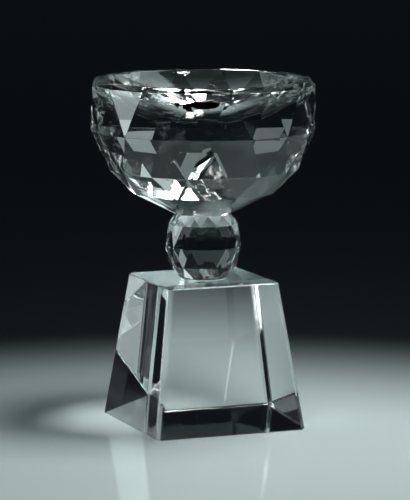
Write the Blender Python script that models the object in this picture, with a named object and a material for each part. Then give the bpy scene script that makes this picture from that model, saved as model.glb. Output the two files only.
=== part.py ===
"""Crystal award: a faceted bowl on a faceted ball, on a solid tapered block.

The bowl, the ball and the block are solid clear crystal. Two thin films of clear
adhesive hold them together. Metres, +Z up. The origin is the centre of the
underside, and the sides of the block run along X and Y.
"""

import math

import bmesh
import bpy
from mathutils import Matrix, Vector

MM = 0.001

# Faces that touch on the real object keep this gap.
CONTACT_GAP = 0.3 * MM

# Block: a square solid that narrows upwards, with its four corners ground off.
BLOCK_FOOT_WIDTH = 85.0 * MM
BLOCK_TOP_WIDTH = 63.0 * MM
BLOCK_HEIGHT = 78.2 * MM
BLOCK_CORNER_CUT = 2.2 * MM
BLOCK_ARRIS = 0.6 * MM

# Adhesive films: thickness, and how far each film stays inside the smaller seat it joins.
FILM_THICKNESS = 0.3 * MM
FILM_INSET = 0.4 * MM
FILM_SIDES = 48

# The ball and the bowl were bonded a few degrees round from the sides of the block.
STONE_TURN = math.radians(3.2)

# Ball: rings of corners, each turned by half a step from the next one. A ring's step is
# how much smaller its radius is than that of the next ring towards the equator.
BALL_SIDES = 12
BALL_EQUATOR_RADIUS = 20.6 * MM
BALL_LOWER_RING_STEP = 2.6 * MM
BALL_FOOT_SEAT_STEP = 5.0 * MM
BALL_UPPER_RING_STEP = 2.0 * MM
BALL_TOP_SEAT_STEP = 3.2 * MM
BALL_FOOT_SEAT_DROP = 16.8 * MM
BALL_LOWER_RING_DROP = 10.4 * MM
BALL_UPPER_RING_RISE = 12.0 * MM
BALL_TOP_SEAT_RISE = 17.0 * MM

# Bowl: rings again, with steps from the girdle down and rises above the seat on the ball.
BOWL_SIDES = 16
BOWL_GIRDLE_RADIUS = 60.0 * MM
BOWL_SHOULDER_STEP = 9.0 * MM
BOWL_UNDER_RING_STEP = 11.8 * MM
BOWL_SEAT_MARGIN = 0.4 * MM
BOWL_UNDER_RING_RISE = 11.4 * MM
BOWL_SHOULDER_RISE = 23.8 * MM
BOWL_GIRDLE_RISE = 44.7 * MM
BOWL_HEIGHT = 71.4 * MM
BOWL_RIM_CHAMFER_WIDTH = 1.8 * MM
BOWL_RIM_CHAMFER_DROP = 2.4 * MM

# Hollow of the bowl: a shallow spherical dish inside a flat polished rim.
RIM_FLAT_WIDTH = 3.4 * MM
DISH_DEPTH = 21.0 * MM
DISH_SEGMENTS = 64
DISH_RINGS = 48

# Radii and heights worked out from the sizes above.
BALL_LOWER_RING_RADIUS = BALL_EQUATOR_RADIUS - BALL_LOWER_RING_STEP
BALL_FOOT_SEAT_RADIUS = BALL_LOWER_RING_RADIUS - BALL_FOOT_SEAT_STEP
BALL_UPPER_RING_RADIUS = BALL_EQUATOR_RADIUS - BALL_UPPER_RING_STEP
BALL_TOP_SEAT_RADIUS = BALL_UPPER_RING_RADIUS - BALL_TOP_SEAT_STEP
BOWL_SEAT_RADIUS = BALL_TOP_SEAT_RADIUS + BOWL_SEAT_MARGIN
BOWL_SHOULDER_RADIUS = BOWL_GIRDLE_RADIUS - BOWL_SHOULDER_STEP
BOWL_UNDER_RING_RADIUS = BOWL_SHOULDER_RADIUS - BOWL_UNDER_RING_STEP
BASE_FILM_BOTTOM = BLOCK_HEIGHT + CONTACT_GAP
BALL_BOTTOM = BASE_FILM_BOTTOM + FILM_THICKNESS + CONTACT_GAP
BALL_EQUATOR = BALL_BOTTOM + BALL_FOOT_SEAT_DROP
BALL_TOP = BALL_EQUATOR + BALL_TOP_SEAT_RISE
BOWL_FILM_BOTTOM = BALL_TOP + CONTACT_GAP
BOWL_BOTTOM = BOWL_FILM_BOTTOM + FILM_THICKNESS + CONTACT_GAP
RIM_HEIGHT = BOWL_BOTTOM + BOWL_HEIGHT

CRYSTAL_COLOUR = (0.93, 0.97, 0.97, 1.0)
ADHESIVE_COLOUR = (0.97, 0.98, 0.96, 1.0)
CRYSTAL_INDEX = 1.52
ADHESIVE_INDEX = 1.48
COPLANAR_ANGLE = math.radians(0.05)


def clear_scene():
    for obj in list(bpy.data.objects):
        bpy.data.objects.remove(obj, do_unlink=True)


def new_collection(name, helper=False):
    collection = bpy.data.collections.new(name)
    collection.hide_render = helper
    bpy.context.scene.collection.children.link(collection)
    return collection


def clear_material(name, colour, roughness, index):
    material = bpy.data.materials.new(name)
    material.use_nodes = True
    shader = material.node_tree.nodes["Principled BSDF"]
    shader.inputs["Base Color"].default_value = colour
    shader.inputs["Roughness"].default_value = roughness
    shader.inputs["Metallic"].default_value = 0.0
    shader.inputs["IOR"].default_value = index
    shader.inputs["Transmission Weight"].default_value = 1.0
    material.diffuse_color = colour
    return material


def object_from(name, bm, collection, material=None):
    """Turns a bmesh into a named object with outward normals."""
    bmesh.ops.recalc_face_normals(bm, faces=bm.faces[:])
    mesh = bpy.data.meshes.new(name)
    bm.to_mesh(mesh)
    bm.free()
    if material:
        mesh.materials.append(material)
    obj = bpy.data.objects.new(name, mesh)
    collection.objects.link(obj)
    return obj


def faceted_solid(sides, rings):
    """A convex cut stone. rings holds (radius, height, half steps of turn) from the bottom up."""
    bm = bmesh.new()
    for radius, height, half_steps in rings:
        turn = Matrix.Rotation(STONE_TURN + half_steps * math.pi / sides, 4, "Z")
        place = Matrix.Translation((0.0, 0.0, height)) @ turn
        bmesh.ops.create_circle(bm, segments=sides, radius=radius, matrix=place)
    bmesh.ops.convex_hull(bm, input=bm.verts[:])
    bmesh.ops.dissolve_limit(
        bm, angle_limit=COPLANAR_ANGLE, verts=bm.verts[:], edges=bm.edges[:]
    )
    return bm


def inner_radius(radius, sides):
    """Radius of the circle that touches the sides of a regular polygon."""
    return radius * math.cos(math.pi / sides)


def make_block(collection, material):
    """Square solid narrowing upwards: ground corners first, then an arris on every edge."""
    bm = bmesh.new()
    half_diagonal = math.sqrt(0.5)
    place = Matrix.Translation((0.0, 0.0, BLOCK_HEIGHT / 2)) @ Matrix.Rotation(math.pi / 4, 4, "Z")
    bmesh.ops.create_cone(
        bm,
        cap_ends=True,
        segments=4,
        radius1=BLOCK_FOOT_WIDTH * half_diagonal,
        radius2=BLOCK_TOP_WIDTH * half_diagonal,
        depth=BLOCK_HEIGHT,
        matrix=place,
    )
    corners = [edge for edge in bm.edges if edge.verts[0].co.z != edge.verts[1].co.z]
    bmesh.ops.bevel(
        bm, geom=corners, offset=BLOCK_CORNER_CUT, segments=1, profile=0.5, affect="EDGES"
    )
    bmesh.ops.bevel(
        bm, geom=bm.edges[:], offset=BLOCK_ARRIS, segments=1, profile=0.5, affect="EDGES"
    )
    return object_from("crystal_block", bm, collection, material)


def make_film(name, bottom, seat_radius, seat_sides, collection, material):
    """Round film of adhesive, just inside the seat that it holds."""
    bm = bmesh.new()
    radius = inner_radius(seat_radius, seat_sides) - FILM_INSET
    bmesh.ops.create_cone(
        bm,
        cap_ends=True,
        segments=FILM_SIDES,
        radius1=radius,
        radius2=radius,
        depth=FILM_THICKNESS,
        matrix=Matrix.Translation((0.0, 0.0, bottom + FILM_THICKNESS / 2)),
    )
    film = object_from(name, bm, collection, material)
    film.data.shade_smooth()
    film.data.set_sharp_from_angle(angle=math.radians(40))
    return film


def make_ball(collection, material):
    """Cut ball between two flat seats."""
    rings = (
        (BALL_FOOT_SEAT_RADIUS, BALL_BOTTOM, 1),
        (BALL_LOWER_RING_RADIUS, BALL_EQUATOR - BALL_LOWER_RING_DROP, 0),
        (BALL_EQUATOR_RADIUS, BALL_EQUATOR, 1),
        (BALL_UPPER_RING_RADIUS, BALL_EQUATOR + BALL_UPPER_RING_RISE, 0),
        (BALL_TOP_SEAT_RADIUS, BALL_TOP, 1),
    )
    return object_from("crystal_ball", faceted_solid(BALL_SIDES, rings), collection, material)


def make_dish_cutter(rim_radius, collection):
    """Sphere whose lower cap is the hollow: as wide as the flat rim leaves, and DISH_DEPTH deep."""
    dish_radius = inner_radius(rim_radius, BOWL_SIDES) - RIM_FLAT_WIDTH
    sphere_radius = (dish_radius**2 + DISH_DEPTH**2) / (2 * DISH_DEPTH)
    centre = Vector((0.0, 0.0, RIM_HEIGHT - DISH_DEPTH + sphere_radius))
    bm = bmesh.new()
    bmesh.ops.create_uvsphere(
        bm,
        u_segments=DISH_SEGMENTS,
        v_segments=DISH_RINGS,
        radius=sphere_radius,
        matrix=Matrix.Translation(centre),
    )
    cutter = object_from("dish_cutter", bm, collection)
    cutter.hide_render = True
    cutter.display_type = "WIRE"
    return cutter


def make_bowl(collection, cutters, material):
    """Cut bowl: rings of triangular facets up to an upright girdle, a chamfered rim and a dish."""
    rim_radius = BOWL_GIRDLE_RADIUS - BOWL_RIM_CHAMFER_WIDTH
    rings = (
        (BOWL_SEAT_RADIUS, BOWL_BOTTOM, 1),
        (BOWL_UNDER_RING_RADIUS, BOWL_BOTTOM + BOWL_UNDER_RING_RISE, 0),
        (BOWL_SHOULDER_RADIUS, BOWL_BOTTOM + BOWL_SHOULDER_RISE, 1),
        (BOWL_GIRDLE_RADIUS, BOWL_BOTTOM + BOWL_GIRDLE_RISE, 0),
        (BOWL_GIRDLE_RADIUS, RIM_HEIGHT - BOWL_RIM_CHAMFER_DROP, 1),
        (rim_radius, RIM_HEIGHT, 1),
    )
    bowl = object_from("crystal_bowl", faceted_solid(BOWL_SIDES, rings), collection, material)
    hollow = bowl.modifiers.new("hollow", "BOOLEAN")
    hollow.operation = "DIFFERENCE"
    hollow.solver = "EXACT"
    hollow.object = make_dish_cutter(rim_radius, cutters)
    return bowl


def main():
    clear_scene()
    parts = new_collection("crystal_award")
    cutters = new_collection("cutters", helper=True)
    crystal = clear_material("clear_crystal", CRYSTAL_COLOUR, 0.0, CRYSTAL_INDEX)
    adhesive = clear_material("clear_adhesive", ADHESIVE_COLOUR, 0.05, ADHESIVE_INDEX)
    make_block(parts, crystal)
    make_film(
        "base_adhesive_film", BASE_FILM_BOTTOM, BALL_FOOT_SEAT_RADIUS, BALL_SIDES, parts, adhesive
    )
    make_ball(parts, crystal)
    make_film(
        "bowl_adhesive_film", BOWL_FILM_BOTTOM, BALL_TOP_SEAT_RADIUS, BALL_SIDES, parts, adhesive
    )
    make_bowl(parts, cutters, crystal)


main()
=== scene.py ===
# %% [markdown]
# # A cut-crystal award, piece by piece
# The award is three solid blocks of clear crystal, held together by two thin films of
# clear glue: a square block that narrows upwards, a small cut ball, and a cut bowl with
# a shallow dish. Clear glass shows nothing of its own. All that is seen is its edges and
# the studio bent through it, so this lesson spends its care on three things: exact flat
# facets, the fine polished strip along every edge, and where the lights stand.
#
# The engineering model is loaded first. It fixes every size and place.

# %% Load the model
import math

import bmesh
import bpy
from mathutils import Matrix, Vector


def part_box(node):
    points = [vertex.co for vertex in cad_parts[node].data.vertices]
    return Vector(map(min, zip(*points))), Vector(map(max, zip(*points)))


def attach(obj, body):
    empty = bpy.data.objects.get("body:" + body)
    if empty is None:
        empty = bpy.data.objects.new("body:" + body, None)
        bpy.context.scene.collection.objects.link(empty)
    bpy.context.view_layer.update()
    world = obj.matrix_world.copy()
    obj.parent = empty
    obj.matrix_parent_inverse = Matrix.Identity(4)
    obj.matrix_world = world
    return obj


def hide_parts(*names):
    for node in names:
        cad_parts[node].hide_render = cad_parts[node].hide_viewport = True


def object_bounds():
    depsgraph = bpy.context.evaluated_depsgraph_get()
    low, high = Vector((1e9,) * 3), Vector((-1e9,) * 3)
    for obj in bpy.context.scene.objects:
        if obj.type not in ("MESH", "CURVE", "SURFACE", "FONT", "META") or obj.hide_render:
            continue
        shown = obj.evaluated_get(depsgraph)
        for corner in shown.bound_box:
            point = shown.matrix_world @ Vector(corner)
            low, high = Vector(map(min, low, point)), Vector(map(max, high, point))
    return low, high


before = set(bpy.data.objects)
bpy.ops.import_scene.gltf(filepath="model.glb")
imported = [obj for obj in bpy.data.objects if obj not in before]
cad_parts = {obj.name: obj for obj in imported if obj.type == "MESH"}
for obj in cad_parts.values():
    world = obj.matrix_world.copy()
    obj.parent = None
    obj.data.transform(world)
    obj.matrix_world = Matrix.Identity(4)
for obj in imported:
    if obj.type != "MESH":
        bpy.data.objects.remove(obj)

cad_low, cad_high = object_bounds()

# %% [markdown]
# ## Measuring the model
# The solid pieces arrive as loose triangles. Welding the triangles and dissolving the
# edges between coplanar ones gives back the real flats, one polygon each. That could be
# done by typing the sizes in again, but then a change to the model would be missed, so
# each crystal is made from a welded copy of its own solid.

# %% Helpers that copy and measure a solid
MM = 0.001
WELD = 0.002 * MM
FLAT_ANGLE = math.radians(0.2)
SHARP_ANGLE = math.radians(7.0)


def welded_copy(node):
    """A mesh copy of a model solid with its triangles joined and its flats made whole."""
    bm = bmesh.new()
    bm.from_mesh(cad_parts[node].data)
    bmesh.ops.remove_doubles(bm, verts=bm.verts[:], dist=WELD)
    bmesh.ops.dissolve_limit(
        bm, angle_limit=FLAT_ANGLE, verts=bm.verts[:], edges=bm.edges[:]
    )
    return bm


def distance_from_axis(point):
    return math.hypot(point.x, point.y)


block_low, block_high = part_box("crystal_block")
ball_low, ball_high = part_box("crystal_ball")
bowl_low, bowl_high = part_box("crystal_bowl")
base_film_low, base_film_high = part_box("base_adhesive_film")
bowl_film_low, bowl_film_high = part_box("bowl_adhesive_film")
print("block top", round(block_high.z, 4), "ball", round(ball_low.z, 4), round(ball_high.z, 4))
print("bowl", round(bowl_low.z, 4), "to", round(bowl_high.z, 4))

# %% [markdown]
# ## Clear crystal
# Optical crystal is colourless glass with a refractive index of about 1.52, polished
# until it has no haze. One Principled shader with full transmission is that material. A
# perfectly even surface looks computed, though: hand-held polishing leaves the flats very
# slightly wavy. A weak bump from a broad noise pattern gives that, and it is read in
# object coordinates so that it stays on the piece.

# %% Material helpers and the polished facets
CRYSTAL_INDEX = 1.52
CRYSTAL_COLOUR = (0.97, 0.99, 0.985)
CLEAR = (1.0, 1.0, 1.0)
WAVE_DETAIL = 2.0


def glass_material(name, colour, roughness, index):
    """A clear material, returned with its node tree and its Principled shader."""
    material = bpy.data.materials.new(name)
    material.use_nodes = True
    tree = material.node_tree
    shader = tree.nodes["Principled BSDF"]
    shader.inputs["Base Color"].default_value = (*colour, 1.0)
    shader.inputs["Roughness"].default_value = roughness
    shader.inputs["IOR"].default_value = index
    shader.inputs["Transmission Weight"].default_value = 1.0
    return material, tree, shader


def add_waviness(tree, shader, size, height, stretch=(1.0, 1.0, 1.0)):
    """Bump from soft noise. size is the width of a wave and height how deep it is."""
    place = tree.nodes.new("ShaderNodeTexCoord")
    mapping = tree.nodes.new("ShaderNodeMapping")
    mapping.inputs["Scale"].default_value = stretch
    noise = tree.nodes.new("ShaderNodeTexNoise")
    noise.inputs["Scale"].default_value = 1.0 / size
    noise.inputs["Detail"].default_value = WAVE_DETAIL
    bump = tree.nodes.new("ShaderNodeBump")
    bump.inputs["Strength"].default_value = 1.0
    bump.inputs["Distance"].default_value = height
    tree.links.new(place.outputs["Object"], mapping.inputs["Vector"])
    tree.links.new(mapping.outputs["Vector"], noise.inputs["Vector"])
    tree.links.new(noise.outputs["Fac"], bump.inputs["Height"])
    tree.links.new(bump.outputs["Normal"], shader.inputs["Normal"])


crystal, crystal_tree, crystal_shader = glass_material(
    "polished_crystal", CRYSTAL_COLOUR, 0.0, CRYSTAL_INDEX
)
add_waviness(crystal_tree, crystal_shader, size=18 * MM, height=0.004 * MM)
print("made", crystal.name)

# %% [markdown]
# ## Polished edges
# The strip along each edge is ground first and polished after, on a softer wheel. It
# ends up a little less clear than the flats, and that slight haze is why the edges of a
# crystal award read as fine bright lines from almost anywhere. The wheel also leaves
# ripples a couple of millimetres long, which break those lines up slightly.

# %% The edge strip material
EDGE_ROUGHNESS = 0.12

edge_strip, edge_tree, edge_shader = glass_material(
    "polished_edge_strip", (0.98, 1.0, 0.995), EDGE_ROUGHNESS, CRYSTAL_INDEX
)
add_waviness(edge_tree, edge_shader, size=2 * MM, height=0.01 * MM)
print("made", edge_strip.name)

# %% [markdown]
# ## The polished dish
# The hollow of the bowl is ground with a round tool and polished as it turns. The tool
# leaves fine rings and short wisps that never polish out completely. They are noise,
# squeezed hard along the height so that it runs round the dish.

# %% The dish material
dish_polish, dish_tree, dish_shader = glass_material(
    "polished_dish", CRYSTAL_COLOUR, 0.0, CRYSTAL_INDEX
)
add_waviness(dish_tree, dish_shader, size=4 * MM, height=0.06 * MM, stretch=(1.0, 1.0, 3.0))
print("made", dish_polish.name)

# %% [markdown]
# ## Glue and the surfaces it wets
# The glue has nearly the index of the crystal, so a glued seat almost disappears: light
# goes straight on, with no mirror there. A surface is therefore given the ratio of the
# two indexes where glue touches crystal, and the index of glue only where glue meets air.

# %% Materials of the bond
GLUE_INDEX = 1.49
GLUE_ROUGHNESS = 0.06
NO_BEND = 1.0

bonded_seat = glass_material("bonded_seat", CLEAR, 0.0, CRYSTAL_INDEX / GLUE_INDEX)[0]
glue_face = glass_material("glue_against_crystal", CLEAR, 0.0, NO_BEND)[0]
glue_edge, glue_edge_tree, glue_edge_shader = glass_material(
    "glue_edge", (0.99, 1.0, 0.98), GLUE_ROUGHNESS, GLUE_INDEX
)
add_waviness(glue_edge_tree, glue_edge_shader, size=1.5 * MM, height=0.02 * MM)
print("made", bonded_seat.name, glue_face.name, glue_edge.name)

# %% [markdown]
# ## From a mesh to a piece
# Every finished mesh becomes an object that sits at the origin, rides with the model and
# stands for the plain solid that it replaces.

# %% Helper that finishes a piece
CRYSTAL_SLOTS = (crystal, edge_strip, bonded_seat, dish_polish)
FACET, EDGE, SEAT, DISH = range(4)
GLUE_SLOTS = (glue_edge, glue_face)
GLUE_SIDE, GLUE_FLAT = range(2)


def turn_outwards(bm):
    """Turns every face of a closed mesh outwards, and makes sure by the sign of its volume."""
    bmesh.ops.recalc_face_normals(bm, faces=bm.faces[:])
    if bm.calc_volume(signed=True) < 0:
        bmesh.ops.reverse_faces(bm, faces=bm.faces[:])


def finish_piece(name, bm, materials, node):
    """Makes a mesh into a piece that replaces a model node."""
    turn_outwards(bm)
    open_count = sum(not edge.is_manifold for edge in bm.edges)
    print(name, "volume in cm3:", round(bm.calc_volume() * 1e6, 1), "open edges:", open_count)
    mesh = bpy.data.meshes.new(name)
    bm.to_mesh(mesh)
    bm.free()
    for material in materials:
        mesh.materials.append(material)
    piece = bpy.data.objects.new(name, mesh)
    bpy.context.scene.collection.objects.link(piece)
    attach(piece, "root")
    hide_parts(node)
    print(name, len(mesh.vertices), "vertices", len(mesh.polygons), "faces")


# %% [markdown]
# ## Seats for the glue
# Glue wets a round patch in the middle of each flat seat. The seat has to be one
# material there and another round it, so its face is taken out and put back as a ring
# and a disc. The ring is bridged between the old outline and a new circle. The edges of
# the circle are listed in a fixed order, so that each run gives the same mesh.

# %% Helper that cuts a round patch into a flat seat
PATCH_SIDES = 64
FLUSH = 0.01 * MM


def flat_face_at(bm, height):
    """The widest face that lies flat at this height."""
    level = [f for f in bm.faces if all(abs(v.co.z - height) < WELD for v in f.verts)]
    return max(level, key=lambda face: face.calc_area())


def cut_patch(bm, height, radius):
    """Puts a round patch, of the seat material, into the flat face at this height."""
    turn_outwards(bm)
    face = flat_face_at(bm, height)
    outline = list(face.edges)
    bmesh.ops.delete(bm, geom=[face], context="FACES_ONLY")
    circle = bmesh.ops.create_circle(
        bm, segments=PATCH_SIDES, radius=radius, matrix=Matrix.Translation((0, 0, height))
    )
    hoop = list(dict.fromkeys(edge for vert in circle["verts"] for edge in vert.link_edges))
    bmesh.ops.bridge_loops(bm, edges=outline + hoop)
    bmesh.ops.edgeloop_fill(bm, edges=hoop, mat_nr=SEAT, use_smooth=False)
    turn_outwards(bm)


def shift_level(bm, height, distance):
    """Moves every corner at this height up or down, so that a seat meets its glue."""
    level = [vert for vert in bm.verts if abs(vert.co.z - height) < WELD]
    bmesh.ops.translate(bm, verts=level, vec=(0, 0, distance))
    return height + distance


def sharp_edges(bm):
    return [e for e in bm.edges if e.is_manifold and e.calc_face_angle() > SHARP_ANGLE]


def strip_edges(bm, edges, width, segments):
    """Grinds a narrow strip along edges."""
    bmesh.ops.bevel(
        bm,
        geom=edges,
        offset=width,
        segments=segments,
        profile=0.5,
        affect="EDGES",
        clamp_overlap=True,
        material=EDGE,
    )


base_film_radius = base_film_high.x
bowl_film_radius = bowl_film_high.x
print("glue discs, radius in mm:", round(base_film_radius / MM, 2), round(bowl_film_radius / MM, 2))

# %% [markdown]
# ## The block
# The block is sawn from a slab, ground to its taper and polished on all six sides. Its
# four upright corners are ground off and every other edge carries a narrow strip. The
# model already has those faces, so they are kept and each of their own edges gets a
# finer break, which is what catches the light.

# %% Make the block
BLOCK_BREAK = 0.08 * MM
STRIP_WIDTH_LIMIT = 1.2 * MM
STRIP_AREA_LIMIT = 100 * MM * MM


def is_strip(face):
    """True for the narrow faces along the edges, which are thin and small."""
    thin = min(edge.calc_length() for edge in face.edges) < STRIP_WIDTH_LIMIT
    return thin and face.calc_area() < STRIP_AREA_LIMIT


block = welded_copy("crystal_block")
for face in block.faces:
    face.material_index = EDGE if is_strip(face) else FACET
cut_patch(block, block_high.z, base_film_radius)
strip_edges(block, sharp_edges(block), BLOCK_BREAK, 1)
finish_piece("award_block", block, CRYSTAL_SLOTS, "crystal_block")

# %% [markdown]
# ## The ball
# The ball is cut in bands of triangles round two flat seats. The facets meet in crisp
# edges, broken by only a tenth of a millimetre.

# %% Make the ball
FACET_BREAK = 0.1 * MM
seat_gap = ball_low.z - base_film_high.z

ball = welded_copy("crystal_ball")
ball_bottom = shift_level(ball, ball_low.z, -seat_gap + FLUSH)
ball_top = shift_level(ball, ball_high.z, seat_gap - FLUSH)
cut_patch(ball, ball_bottom, base_film_radius)
cut_patch(ball, ball_top, bowl_film_radius)
strip_edges(ball, sharp_edges(ball), FACET_BREAK, 2)
finish_piece("award_ball", ball, CRYSTAL_SLOTS, "crystal_ball")

# %% [markdown]
# ## The bowl
# Outside, the bowl is cut like the ball: four rings of corners joined by triangles, with
# a narrow bevel under the rim. Inside is a shallow round dish. The model's dish is made
# of small flats, which glass would show at once, so it is taken out and turned again as
# one smooth surface: an arc spun round the axis.

# %% Measure the dish and open the bowl
DISH_STEPS = 144
ARC_STEPS = 40

bowl = welded_copy("crystal_bowl")
rim_level = bowl_high.z
rim_verts = [vert for vert in bowl.verts if abs(vert.co.z - rim_level) < WELD]
outer_radius = max(distance_from_axis(vert.co) for vert in rim_verts)
dish_radius = min(distance_from_axis(vert.co) for vert in rim_verts)
middle_of_rim = (outer_radius + dish_radius) / 2
lip_verts = {vert for vert in rim_verts if distance_from_axis(vert.co) < middle_of_rim}


def dish_vertices(bm):
    """Every corner of the dish: all that its middle reaches without crossing the rim."""
    on_axis = [vert for vert in bm.verts if distance_from_axis(vert.co) < MM]
    newest = {max(on_axis, key=lambda vert: vert.co.z)}
    found = set(newest)
    while newest:
        reached = {edge.other_vert(vert) for vert in newest for edge in vert.link_edges}
        newest = {vert for vert in reached - found if vert.co.z < rim_level - WELD}
        found |= newest
    return found


dish_verts = dish_vertices(bowl)
dish_depth = rim_level - min(vert.co.z for vert in dish_verts)
sphere_radius = (dish_radius**2 + dish_depth**2) / (2 * dish_depth)
rim_faces = [
    face for face in bowl.faces if all(abs(vert.co.z - rim_level) < WELD for vert in face.verts)
]
bmesh.ops.delete(bowl, geom=rim_faces, context="FACES_ONLY")
old_dish = [vert for vert in bowl.verts if vert in dish_verts or vert in lip_verts]
bmesh.ops.delete(bowl, geom=old_dish, context="VERTS")
print("dish radius and depth in mm:", round(dish_radius / MM, 2), round(dish_depth / MM, 2))

# %% Turn the dish and close the rim
lip_angle = math.asin(dish_radius / sphere_radius)
sphere_centre = rim_level - dish_depth + sphere_radius


def arc_point(step):
    """A point of the dish, from the lip at step 0 to the axis at the last step."""
    angle = lip_angle * (1 - step / ARC_STEPS)
    return (
        sphere_radius * math.sin(angle),
        0.0,
        sphere_centre - sphere_radius * math.cos(angle),
    )


arc = [bowl.verts.new(arc_point(step)) for step in range(ARC_STEPS + 1)]
arc_edges = [bowl.edges.new(pair) for pair in zip(arc, arc[1:])]
bmesh.ops.spin(
    bowl,
    geom=arc + arc_edges,
    cent=(0, 0, 0),
    axis=(0, 0, 1),
    angle=math.tau,
    steps=DISH_STEPS,
    use_merge=True,
)
bmesh.ops.remove_doubles(bowl, verts=bowl.verts[:], dist=WELD)
for face in bowl.faces:
    inside = all(distance_from_axis(vert.co) < dish_radius + WELD for vert in face.verts)
    if inside and face.calc_center_median().z > bowl_low.z + seat_gap:
        face.material_index = DISH
        face.smooth = True
open_edges = [edge for edge in bowl.edges if edge.is_boundary]
bmesh.ops.triangle_fill(bowl, use_beauty=True, edges=open_edges)
turn_outwards(bowl)
print("rim closed:", not any(edge.is_boundary for edge in bowl.edges))

# %% Break the edges of the bowl and finish it
LIP_BREAK = 0.5 * MM
bowl_bottom = shift_level(bowl, bowl_low.z, -seat_gap + FLUSH)
cut_patch(bowl, bowl_bottom, bowl_film_radius)
lip_edges = [
    edge
    for edge in sharp_edges(bowl)
    if any(face.material_index == DISH for face in edge.link_faces)
]
strip_edges(bowl, lip_edges, LIP_BREAK, 2)
cut_edges = [
    edge
    for edge in sharp_edges(bowl)
    if all(face.material_index == FACET for face in edge.link_faces)
]
strip_edges(bowl, cut_edges, FACET_BREAK, 2)
finish_piece("award_bowl", bowl, CRYSTAL_SLOTS, "crystal_bowl")

# %% [markdown]
# ## The glue films
# Each film is a thin disc that fills the space between two seats. Where it meets the
# air it pulls in slightly, as any liquid does before it cures.

# %% Make the films
MENISCUS = 0.08 * MM
LEVEL = 0.5


def make_film(name, low, high, radius, node):
    """A disc between two levels whose side is drawn in at half height."""
    bm = bmesh.new()
    bmesh.ops.create_cone(
        bm,
        cap_ends=True,
        segments=PATCH_SIDES,
        radius1=radius,
        radius2=radius,
        depth=high - low,
        matrix=Matrix.Translation((0, 0, (low + high) / 2)),
    )
    for face in bm.faces:
        face.material_index = GLUE_FLAT if abs(face.normal.z) > LEVEL else GLUE_SIDE
    uprights = [edge for edge in bm.edges if edge.verts[0].co.z != edge.verts[1].co.z]
    cut = bmesh.ops.subdivide_edges(bm, edges=uprights, cuts=1)
    waist = [item for item in cut["geom_inner"] if isinstance(item, bmesh.types.BMVert)]
    shrink = (radius - MENISCUS) / radius
    bmesh.ops.scale(bm, vec=(shrink, shrink, 1.0), verts=waist)
    finish_piece(name, bm, GLUE_SLOTS, node)


make_film(
    "base_glue_film",
    block_high.z + FLUSH,
    ball_bottom - FLUSH,
    base_film_radius,
    "base_adhesive_film",
)
make_film(
    "bowl_glue_film",
    ball_top + FLUSH,
    bowl_bottom - FLUSH,
    bowl_film_radius,
    "bowl_adhesive_film",
)

# %% [markdown]
# ## The camera
# The award is seen from a little above, turned so that one side of the block faces
# nearly forwards and the next one shows as a sliver on the left. The lens is long,
# as product photographs are, so uprights stay almost parallel.

# %% Set up the camera
CAMERA_AZIMUTH = math.radians(-21.46)
CAMERA_ELEVATION = math.radians(8.39)
CAMERA_DISTANCE = 1.753
CAMERA_LENS = 235.7
AIM_RIGHT = 0.95 * MM
AIM_UP = 0.6 * MM

to_right = Vector((math.cos(CAMERA_AZIMUTH), math.sin(CAMERA_AZIMUTH), 0.0))
to_back = Vector((-math.sin(CAMERA_AZIMUTH), math.cos(CAMERA_AZIMUTH), 0.0))
to_camera = Vector((0, 0, math.sin(CAMERA_ELEVATION))) - to_back * math.cos(CAMERA_ELEVATION)
aim = (cad_low + cad_high) / 2 + to_right * AIM_RIGHT + Vector((0, 0, AIM_UP))

camera_data = bpy.data.cameras.new("camera")
camera_data.lens = CAMERA_LENS
camera = bpy.data.objects.new("camera", camera_data)
bpy.context.scene.collection.objects.link(camera)
camera.location = aim + to_camera * CAMERA_DISTANCE
camera.rotation_euler = to_camera.to_track_quat("Z", "Y").to_euler()
bpy.context.scene.camera = camera
print("camera at", [round(value, 3) for value in camera.location])

# %% [markdown]
# ## The floor
# The award stands on a smooth sheet whose colour carries a painted pool of light. Near the award,
# a little in front of it, the sheet is pale grey. Further out it deepens to near black, a painted
# fall-off of light, so that the crystal has something dark to bend into view.

# %% Make the floor
FLOOR_RADIUS = 6.0
# The sheet's colour is a painted pool of light: pale within PALE_RADIUS of a point POOL_FORWARD in
# front of the award, then a painted fall-off to near black by DARK_RADIUS.
PALE_RADIUS = 0.12
DARK_RADIUS = 0.39
POOL_FORWARD = 0.10
FLOOR_SIDES = 96
FLOOR_GAP = 0.05 * MM

floor_mesh = bmesh.new()
bmesh.ops.create_circle(floor_mesh, cap_ends=True, segments=FLOOR_SIDES, radius=FLOOR_RADIUS)
floor_data = bpy.data.meshes.new("studio_floor")
floor_mesh.to_mesh(floor_data)
floor_mesh.free()
floor = bpy.data.objects.new("studio_floor", floor_data)
bpy.context.scene.collection.objects.link(floor)
floor.location.z = cad_low.z - FLOOR_GAP

floor_material = bpy.data.materials.new("painted_light_pool_sheet")
floor_material.use_nodes = True
floor_tree = floor_material.node_tree
floor_shader = floor_tree.nodes["Principled BSDF"]
floor_shader.inputs["Roughness"].default_value = 0.5
floor_shader.inputs["Specular IOR Level"].default_value = 0.2
floor_shader.inputs["Coat Weight"].default_value = 1.0
floor_shader.inputs["Coat Roughness"].default_value = 0.03
floor_place = floor_tree.nodes.new("ShaderNodeTexCoord")
floor_shift = floor_tree.nodes.new("ShaderNodeMapping")
floor_shift.inputs["Location"].default_value = to_back * POOL_FORWARD
floor_length = floor_tree.nodes.new("ShaderNodeVectorMath")
floor_length.operation = "LENGTH"
painted_pool_fade = floor_tree.nodes.new("ShaderNodeMapRange")
painted_pool_fade.interpolation_type = "SMOOTHSTEP"
painted_pool_fade.inputs["From Min"].default_value = PALE_RADIUS
painted_pool_fade.inputs["From Max"].default_value = DARK_RADIUS
painted_pool_ramp = floor_tree.nodes.new("ShaderNodeMix")
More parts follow.
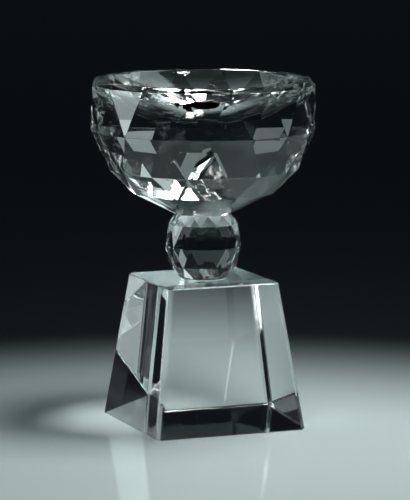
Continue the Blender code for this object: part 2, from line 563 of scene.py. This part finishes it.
painted_pool_ramp.data_type = "RGBA"
# Painted light: pale grey where the painted pool of light lies, near black where its painted
# fall-off ends.
painted_pool_ramp.inputs["A"].default_value = (0.63, 0.76, 0.76, 1.0)
painted_pool_ramp.inputs["B"].default_value = (0.006, 0.008, 0.009, 1.0)
floor_tree.links.new(floor_place.outputs["Object"], floor_shift.inputs["Vector"])
floor_tree.links.new(floor_shift.outputs["Vector"], floor_length.inputs[0])
floor_tree.links.new(floor_length.outputs["Value"], painted_pool_fade.inputs["Value"])
floor_tree.links.new(painted_pool_fade.outputs["Result"], painted_pool_ramp.inputs["Factor"])
floor_tree.links.new(painted_pool_ramp.outputs["Result"], floor_shader.inputs["Base Color"])
floor_data.materials.append(floor_material)
print("floor ready")

# %% [markdown]
# ## The lights
# Crystal is lit by what it reflects and bends, so most of the studio stays dark and each
# panel has one thing to do. A strong one nearly overhead, a little to the right, lights
# the sheet, throws the shadow of the bowl to the left and puts the sparkle low in it. A
# low one on the left fills one triangle under the rim. The dim ones behind and beside
# the award each draw a few lines along its edges and facets. No panel is seen directly.

# %% Helpers that place a panel
AIM_HEIGHT = 0.09


def soft_panel(
    name, right, back, height, width, tall, brightness, colour, aim_height=AIM_HEIGHT
):
    """An area light given in the camera's right and back directions, facing the award."""
    data = bpy.data.lights.new(name, "AREA")
    data.shape = "RECTANGLE"
    data.size = width
    data.size_y = tall
    data.color = colour
    data.energy = brightness * math.pi * width * tall
    panel = bpy.data.objects.new(name, data)
    bpy.context.scene.collection.objects.link(panel)
    panel.location = to_right * right + to_back * back + Vector((0, 0, height))
    towards = Vector((0, 0, aim_height)) - panel.location
    panel.rotation_euler = towards.to_track_quat("-Z", "Y").to_euler()
    panel.visible_camera = False


def standing_panel(name, turn, lift, width, tall, brightness):
    """A panel a metre away, turned right from straight behind and lifted, in degrees."""
    across = math.cos(math.radians(lift))
    soft_panel(
        name,
        right=across * math.sin(math.radians(turn)),
        back=across * math.cos(math.radians(turn)),
        height=AIM_HEIGHT + math.sin(math.radians(lift)),
        width=width,
        tall=tall,
        brightness=brightness,
        colour=COOL_WHITE,
    )


# %% Place the lights
WARM_WHITE = (1.0, 0.99, 0.98)
COOL_WHITE = (0.86, 1.0, 1.0)
STANDING_PANELS = (
    # name, turn, lift, width, height of the panel, brightness
    ("right_key_panel", 93, 29, 0.36, 0.36, 1.5),
    ("left_facet_panel", -90, 5, 0.42, 0.24, 5.0),
    ("left_edge_panel", -60, 8, 0.25, 0.14, 2.0),
    ("right_edge_panel", 60, 8, 0.25, 0.14, 3.0),
    ("side_fill_panel", -120, 8, 0.25, 0.14, 0.7),
    ("top_line_panel", 0, 22, 0.25, 0.25, 0.15),
    ("left_line_panel", -30, 8, 0.25, 0.14, 0.12),
    ("right_line_panel", 30, 8, 0.25, 0.14, 0.25),
    ("back_sparkle_panel", 30, 38, 0.25, 0.25, 0.6),
)

soft_panel("key_panel", 0.136, -0.037, 0.60, 0.22, 0.22, 27.0, WARM_WHITE, aim_height=0.0)
for row in STANDING_PANELS:
    standing_panel(*row)
soft_panel("dish_panel", 0.25, 0.25, 0.60, 0.25, 0.25, 2.2, COOL_WHITE)
print("panels placed:", len(STANDING_PANELS) + 2)

# %% [markdown]
# ## The dark room
# The room behind the panels is nearly black, or every facet would fill with grey. Light
# has to pass many faces before it leaves the crystal, so it is followed for many bounces.
# The soft bright patches beside the shadow are light that the crystal gathers. They are
# lost if strong paths are clamped or blurred, so neither is done.

# %% Darken the room and follow the light
MOST_BOUNCES = 32
MOST_MIRROR_BOUNCES = 24

world = bpy.data.worlds.new("dark_studio")
world.use_nodes = True
world.node_tree.nodes["Background"].inputs["Color"].default_value = (0.005, 0.0065, 0.008, 1.0)
scene = bpy.context.scene
scene.world = world
scene.view_settings.view_transform = "Standard"
scene.cycles.max_bounces = MOST_BOUNCES
scene.cycles.glossy_bounces = MOST_MIRROR_BOUNCES
scene.cycles.transmission_bounces = MOST_BOUNCES
scene.cycles.sample_clamp_indirect = 0.0
scene.cycles.blur_glossy = 0.0
print("light is followed for", MOST_BOUNCES, "bounces")
